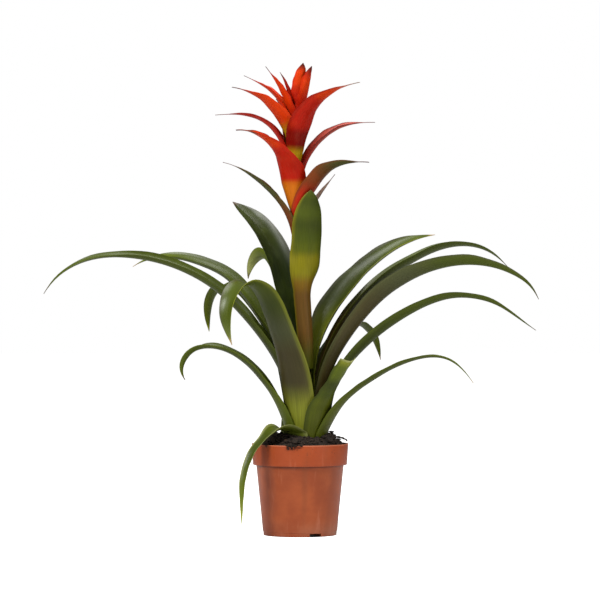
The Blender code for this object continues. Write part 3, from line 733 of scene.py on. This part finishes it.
# name, heading, turn, layer, leaves crown at, blade, half width, taper, end share, fold, twist, end twist,
# slopes, tints, margins, tip, ripple
LEAVES = (
    ("leaf_rim_left", 222, 0, 0, 14, 162, 9, 2.6, 0.0, 0.8, 0, 0, (24, -22, -40, -61, -80, -88, -90),
     (LIME, FRESH, GREEN, GREEN, FRESH, LIME), (PALE, PALE), STRAW, 0.7),
    ("leaf_low_right", 352, 0, 0, 14, 230, 12, 2.6, 0.0, 1.0, 0, 0,
     (64, 57, 41, 33, 26, 17, -5, -38, -56), (OLIVE, OLIVE, GREEN, GREEN, FRESH), (FRESH, GREEN), STRAW,
     0.6),
    ("leaf_rim_back", 104, 0, 0, 14, 140, 12, 2.6, 0.0, 0.8, 0, 0, (60, 22, -12, -42, -66, -80, -84),
     (FLUSH, DEEP, GREEN, GREEN, FRESH), (GREEN, GREEN), STRAW, 0.6),
    ("leaf_low_left", 188, 0, 1, 18, 208, 15, 3.0, 0.0, 1.1, -12, 70,
     (70, 66, 57, 48, 36, 18, -12, -60, -120), (LIME, FRESH, DEEP, GREEN, GREEN), (GREEN, FRESH), UMBER,
     0.6),
    # leaf_cut: its darker margin is painted shade.
    ("leaf_cut", 316, 0, 1, 41, 76, 17, 2.6, 0.85, 0.8, 0, 0, (67, 57, 50, 45),
     (OLIVE, OLIVE, OLIVE, GREEN, DEEP, FRESH, FRESH, LIME), (PAINTED_SHADE_GREEN, LIME), PALE, 0.5),
    ("leaf_back", 78, 0, 1, 40, 150, 14, 2.6, 0.0, 0.9, 0, 0, (62, 30, 2, -28, -52, -68),
     (FLUSH, DEEP, GREEN, GREEN, FRESH), (GREEN, GREEN), STRAW, 0.6),
    ("leaf_right", 356, 0, 2, 38, 334, 17, 2.6, 0.0, 1.2, -12, 0,
     (72, 62, 47, 38, 29, 14, -10, -33, -34), (OLIVE, SMOKE, DEEP, GREEN, GREEN, GREEN), (GREEN, GREEN),
     UMBER, 0.6),
    ("leaf_front_left", 240, -18, 2, 66, 257, 21, 4.5, 0.0, 0.75, 0, 0,
     (76, 66, 58, 57, 49, 10, -50, -90, -112),
     (LIME, LIME, FLUSH, FLUSH, SMOKE, DEEP, GREEN, GREEN, GREEN, FRESH), (SMOKE, LIME), STRAW, 0.6),
    ("leaf_back_left", 131, 0, 2, 60, 270, 16, 7.0, 0.0, 1.0, -10, 0,
     (74, 66, 57, 47, 38, 22, -14, -70, -98), (FLUSH, DEEP, DEEP, GREEN, FRESH), (GREEN, GREEN), LIME,
     0.6),
    ("leaf_far_left", 183, 0, 3, 66, 390, 18, 2.6, 0.0, 1.25, -18, 0,
     (76, 61, 53, 47, 37, 25, 14, 4, -12, -34, -58), (FLUSH, SMOKE, DEEP, GREEN, GREEN, GREEN),
     (GREEN, GREEN), UMBER, 0.6),
    ("leaf_broad_right", 345, 0, 3, 73, 350, 20, 3.4, 0.0, 1.1, -25, 0,
     (78, 62, 55, 49, 37, 25, 14, 1, -15, -32, -64),
     (OLIVE, AMBER_FLUSH, FLUSH, FLUSH, SMOKE, GREEN, GREEN, GREEN), (SMOKE, DEEP), UMBER, 0.6),
    ("leaf_back_right", 54, 0, 4, 78, 190, 12, 4.0, 0.0, 0.8, 0, 0, (70, 48, 38, 19, -15, -46, -74),
     (FLUSH, DEEP, DEEP, GREEN, FRESH), (GREEN, GREEN), STRAW, 0.6),
    ("leaf_left", 164, 0, 4, 78, 284, 18, 4.0, 0.0, 1.1, -18, 0, (80, 64, 56, 54, 42, 23, 11, -4, -30),
     (FLUSH, SMOKE, GREEN, GREEN, FRESH), (GREEN, GREEN), STRAW, 0.6),
    ("leaf_arch_right", 8, 0, 5, 78, 324, 21, 3.6, 0.0, 1.1, 0, 0,
     (74, 64, 55, 45, 35, 28, 12, -18, -46), (OLIVE, FLUSH, AMBER_FLUSH, SMOKE, GREEN, GREEN, GREEN),
     (GREEN, GREEN), UMBER, 0.6),
    ("leaf_curl_back", 118, 0, 5, 96, 231, 14, 6.0, 0.0, 0.9, 50, 0,
     (80, 72, 60, 50, 48, 44, 18, -34, -84), (FLUSH, DEEP, DEEP, DEEP, FRESH, PALE), (DEEP, FRESH),
     UMBER, 0.6),
    ("leaf_upper_right", 30, 0, 6, 86, 268, 22, 3.6, 0.0, 1.1, 18, 0,
     (84, 73, 62, 50, 43, 35, 28, 17, 8), (OLIVE, FRESH, OLIVE, DEEP, DEEP, GREEN, GREEN),
     (LIME, SMOKE), STRAW, 0.6),
    # leaf_upper_left: its dark middle and one margin are painted shade.
    ("leaf_upper_left", 147, 0, 6, 98, 235, 19, 7.0, 0.0, 0.8, -30, 0, (83, 77, 75, 72, 57, 42, 34),
     (FLUSH, DEEP, PAINTED_SHADE_GREEN, PAINTED_SHADE_GREEN, DEEP, DEEP), (SMOKE, PAINTED_SHADE_GREEN), UMBER, 0.6),
)
for seed, row in enumerate(LEAVES, 1):
    name, heading, turn, layer, leaves_at, blade, half_width, taper = row[:8]
    end_share, fold, twist, end_twist, slopes, tints, margins, tip, ripple = row[8:]
    sheath = []
    for step in range(13):
        height = leaves_at * MILLIMETRE * step / 12
        radius = crown_shell_radius(CROWN_Z + height, layer)
        full = SHEATH_HALF_ANGLE * radius
        narrow = min(full, half_width * MILLIMETRE * 1.15)
        width = full + (narrow - full) * smooth_step(height / 0.085)
        sheath.append((stem_centre(CROWN_Z + height), radius, width))
    blade_row = (heading, turn, blade, half_width, taper, 1.0, end_share, fold, twist, end_twist, slopes)
    stations = strap_stations(sheath, blade_row, LEAF_STEPS)
    piece = bent_strap(
        f"{name}_blade", stations, LEAF_THICKNESS, tints, margins, tip, LEAF_DRY_FROM, ripple, seed
    )
    piece.data.materials.append(leaf_above.material)
    piece.data.materials.append(leaf_beneath.material)
    apply_modifiers(piece)
    bpy.ops.object.shade_smooth_by_angle(angle=math.radians(60))
    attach(piece, "root")
    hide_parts(name)

# ---- The flower head ----------------------------------------------------------------------------------
# Bracts in a spiral up the stem, each hugging it for a short way and then curving out like a flame. They
# are waxy, yellow where they leave the stem, orange to deep red in the blade, with thin dark points.
LONGEST_BLUNT_BRACT = 60
BRACT_STEPS = 36
BRACT_THICKNESS = 0.0007
BRACT_RIPPLE = 0.5

YELLOW = (0.330, 0.210, 0.003)
AMBER = (0.420, 0.110, 0.003)
ORANGE = (0.470, 0.028, 0.001)
RED = (0.330, 0.007, 0.001)
DEEP_RED = (0.150, 0.002, 0.001)
BRONZE = (0.105, 0.028, 0.006)
OLIVE_BROWN = (0.048, 0.048, 0.012)
DARK_TIP = (0.050, 0.008, 0.006)
# The rose colour below is partly the bracts' own maroon and partly painted sheen, the pale pink of their
# glossy inner face.
ROSE_AND_PAINTED_SHEEN = (0.340, 0.050, 0.034)
GREY_TIP = (0.220, 0.150, 0.110)
AMBER_GREEN = (0.200, 0.165, 0.002)
AMBER_BROWN = (0.160, 0.066, 0.003)

bract_above = leaf_finish("bract, waxy inner side", None, 0.30, 0.25, (0.60, 0.10, 0.02), 0.0, 0.12)
bract_beneath = leaf_finish("bract, outer side", None, 0.40, 0.35, (0.42, 0.05, 0.01), 0.0, 0.06)

# name, heading, turn, starts at, stands off, sheath, lean, blade, half width, taper, fold, twist, slopes,
# tints, margins, tip
BRACTS = (
    ("stem_leaf", 296, 0, 92, 2.2, 90, 0.017, 132, 21, 8.0, 0.75, -14, (89, 87, 84, 82, 80, 79),
     (OLIVE, BRONZE, BRONZE, AMBER_BROWN, AMBER_GREEN, AMBER_GREEN, OLIVE, GREEN, DEEP, GREEN, DEEP,
      GREEN), (AMBER_GREEN, DEEP), UMBER),
    ("bract_01_low_left", 187, 0, 248, 0, 20, 0.18, 120, 13, 2.6, 1.0, -10, (72, 60, 47, 38, 30, 12),
     (DEEP_RED, BRONZE, OLIVE_BROWN, OLIVE_BROWN, OLIVE_BROWN), (BRONZE, OLIVE_BROWN), DARK_TIP),
    ("bract_02_low_back", 40, 0, 256, 0, 20, 0.18, 78, 7, 2.6, 0.9, 0, (60, 48, 48, 48, 44),
     (BRONZE, ROSE_AND_PAINTED_SHEEN, GREY_TIP, GREY_TIP, GREY_TIP), (DARK_TIP, DARK_TIP), DARK_TIP),
    ("bract_03_low_right", 318, 26, 269, 0, 20, 0.26, 116, 18, 2.6, 1.0, -15,
     (68, 58, 50, 33, 16, 4, -5), (RED, RED, BRONZE, OLIVE_BROWN, OLIVE_BROWN), (BRONZE, BRONZE),
     DARK_TIP),
    ("bract_04_front_left", 232, -34, 280, 0, 42, 0.27, 104, 28, 2.2, 1.1, -16,
     (70, 64, 54, 44, 31, 15, -6),
     (AMBER_GREEN, AMBER, AMBER, RED, RED, RED, RED, RED, ORANGE, ORANGE, ORANGE, BRONZE, BRONZE,
      OLIVE_BROWN), (DEEP_RED, RED), DARK_TIP),
    ("bract_05_back", 100, 0, 291, 0, 36, 0.18, 90, 12, 2.6, 0.9, 0, (84, 76, 64, 48, 34),
     (YELLOW, AMBER, RED, RED, BRONZE), (RED, RED), DARK_TIP),
    # bract_06_right: its rose middle is partly painted sheen.
    ("bract_06_right", 14, 0, 307, 0, 30, 0.21, 120, 13, 2.6, 1.2, 12, (74, 60, 48, 34, 19, 7, 0),
     (RED, RED, ROSE_AND_PAINTED_SHEEN, ROSE_AND_PAINTED_SHEEN, ROSE_AND_PAINTED_SHEEN), (DARK_TIP, DARK_TIP), DARK_TIP),
    ("bract_07_left", 171, 0, 320, 0, 28, 0.18, 122, 14, 2.6, 0.9, 0, (78, 70, 52, 31, 13, 0, -3),
     (AMBER, RED, RED, RED, RED), (DEEP_RED, DEEP_RED), DARK_TIP),
    ("bract_08_back_left", 118, 0, 329, 0, 32, 0.18, 80, 12, 2.6, 0.9, 0, (82, 74, 62, 50, 38),
     (YELLOW, AMBER, RED, RED, BRONZE), (RED, RED), DARK_TIP),
    ("bract_09_front_right", 302, 36, 340, 0, 22, 0.28, 131, 25, 2.2, 1.1, 0,
     (70, 65, 56, 38, 28, 18, 8),
     (YELLOW, YELLOW, YELLOW, DEEP_RED, DEEP_RED, RED, RED, RED, RED, ORANGE, ORANGE, ORANGE, ORANGE,
      ROSE_AND_PAINTED_SHEEN), (DEEP_RED, DEEP_RED), GREY_TIP),
    ("bract_10_upper_left", 212, -18, 354, 0, 16, 0.18, 108, 22, 2.6, 1.0, 0, (76, 60, 50, 38, 22, 8),
     (YELLOW, YELLOW, YELLOW, ORANGE, ORANGE, ORANGE, ORANGE, RED), (RED, ORANGE), DARK_TIP),
    ("bract_11_upper_back", 60, 0, 362, 0, 18, 0.18, 60, 12, 2.6, 0.9, 0, (80, 70, 60, 50, 40),
     (YELLOW, ORANGE, RED, RED, DEEP_RED), (RED, RED), DARK_TIP),
    ("bract_12_thin_left", 166, 0, 370, 0, 18, 0.18, 95, 13, 2.6, 1.0, 0, (80, 71, 56, 40, 30, 24),
     (AMBER, RED, ORANGE, ORANGE, RED), (RED, RED), DARK_TIP),
    ("bract_13_top_left", 197, 0, 382, 0, 16, 0.18, 76, 13, 2.6, 1.0, 0, (80, 71, 65, 57, 50),
     (DEEP_RED, RED, ORANGE, ORANGE, RED), (RED, RED), DARK_TIP),
    ("bract_14_top_back", 160, 0, 391, 0, 14, 0.18, 58, 8, 2.6, 1.0, 0, (84, 79, 72, 60),
     (DEEP_RED, DEEP_RED, RED, DEEP_RED), (DEEP_RED, DEEP_RED), DARK_TIP),
    ("bract_15_top_right", 336, 0, 397, 0, 12, 0.24, 59, 13.5, 6.0, 1.0, 0, (80, 78, 78, 80),
     (DEEP_RED, RED, ORANGE, RED), (RED, RED), DARK_TIP),
    ("bract_16_top_front", 296, 0, 411, 0, 10, 0.16, 50, 12.5, 4.0, 1.0, 0, (87, 83, 80, 76),
     (DEEP_RED, RED, ORANGE, ORANGE), (RED, RED), DARK_TIP),
)
for seed, row in enumerate(BRACTS, 31):
    name, heading, turn, starts_at, stands_off, hugging, lean, blade, half_width, taper = row[:10]
    fold, twist, slopes, tints, margins, tip = row[10:]
    sheath = []
    start_z = CROWN_Z + starts_at * MILLIMETRE
    for step in range(9):
        z = start_z + hugging * MILLIMETRE * step / 8
        radius = stem_radius(z) + 0.00075 + stands_off * MILLIMETRE + lean * (z - start_z)
        sheath.append((stem_centre(z), radius, min(half_width * MILLIMETRE, 1.8 * radius)))
    leaf_like = name == "stem_leaf"
    drawn_out = blade > LONGEST_BLUNT_BRACT and not leaf_like
    point_share, thread = (0.90, 0.07) if drawn_out else (1.0, 0.0)
    blade_row = (heading, turn, blade, half_width, taper, point_share, thread, fold, twist, 0.0, slopes)
    stations = strap_stations(sheath, blade_row, BRACT_STEPS)
    dry_from = 0.97 if leaf_like else 0.72
    piece = bent_strap(
        f"{name}_blade", stations, BRACT_THICKNESS, tints, margins, tip, dry_from, BRACT_RIPPLE, seed
    )
    piece.data.materials.append((leaf_above if leaf_like else bract_above).material)
    piece.data.materials.append((leaf_beneath if leaf_like else bract_beneath).material)
    apply_modifiers(piece)
    bpy.ops.object.shade_smooth_by_angle(angle=math.radians(60))
    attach(piece, "root")
    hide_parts(name)

# ---- The studio ---------------------------------------------------------------------------------------
# A plain pale floor with a painted shadow under the pot, where the pot keeps the light off it, an even
# white room, and broad soft lamps above and to the sides.
deselect_all()
bpy.ops.mesh.primitive_plane_add(size=24, location=(0, 0, -0.0002))
floor = bpy.context.object
floor.name = "floor"
pale = Finish("pale floor", 0.8)
looked_at = pale.node("ShaderNodeLightPath", {}, {}, "Is Camera Ray")
middle = pale.where()
from_pot = pale.node("ShaderNodeVectorMath", {"operation": "LENGTH"}, {0: middle}, "Value")
# Painted shadow: inside the pot's foot the floor is dark and gives off almost no light.
outside_painted_shadow = from_pot.between(POT_FOOT - 0.0013, POT_FOOT + 0.0012)
pale.colour(pale.mix(outside_painted_shadow, (0.10, 0.08, 0.07), (0.72, 0.72, 0.72)))
pale.vary("Emission Color", pale.mix(looked_at * outside_painted_shadow, (0.02, 0.02, 0.02), (0.92, 0.92, 0.92)))
pale.shader.inputs["Emission Strength"].default_value = 1.0
floor.data.materials.append(pale.material)
place_in_mesh(floor)

world = bpy.data.worlds.new("white room")
bpy.context.scene.world = world
world.use_nodes = True
room = world.node_tree.nodes
seen = room.new("ShaderNodeLightPath")
level = room.new("ShaderNodeMapRange")
level.inputs["To Min"].default_value = 0.22
level.inputs["To Max"].default_value = 1.0
world.node_tree.links.new(seen.outputs["Is Camera Ray"], level.inputs["Value"])
world.node_tree.links.new(level.outputs["Result"], room["Background"].inputs["Strength"])
room["Background"].inputs["Color"].default_value = (1, 1, 1, 1)


def soft_lamp(name, place, target, size, power):
    lamp = bpy.data.lights.new(name, "AREA")
    lamp.shape = "DISK"
    lamp.size = size
    lamp.energy = power
    holder = bpy.data.objects.new(name, lamp)
    holder.location = place
    holder.rotation_euler = (Vector(target) - Vector(place)).to_track_quat("-Z", "Y").to_euler()
    bpy.context.scene.collection.objects.link(holder)


soft_lamp("key lamp", (-1.2, -1.5, 1.6), (0, 0, 0.3), 0.7, 62)
soft_lamp("fill lamp", (1.6, -1.2, 0.9), (0, 0, 0.3), 0.9, 16)
soft_lamp("top lamp", (0.3, -0.5, 2.0), (0, 0, 0.3), 1.3, 48)

camera = bpy.data.cameras.new("camera")
camera.sensor_width = 36
camera.lens = 174
camera.clip_end = 60
viewer = bpy.data.objects.new("camera", camera)
viewer.location = (0, -3.6, 0.291)
viewer.rotation_euler = (math.radians(90), 0, 0)
bpy.context.scene.collection.objects.link(viewer)
bpy.context.scene.camera = viewer
bpy.context.scene.view_settings.view_transform = "Standard"
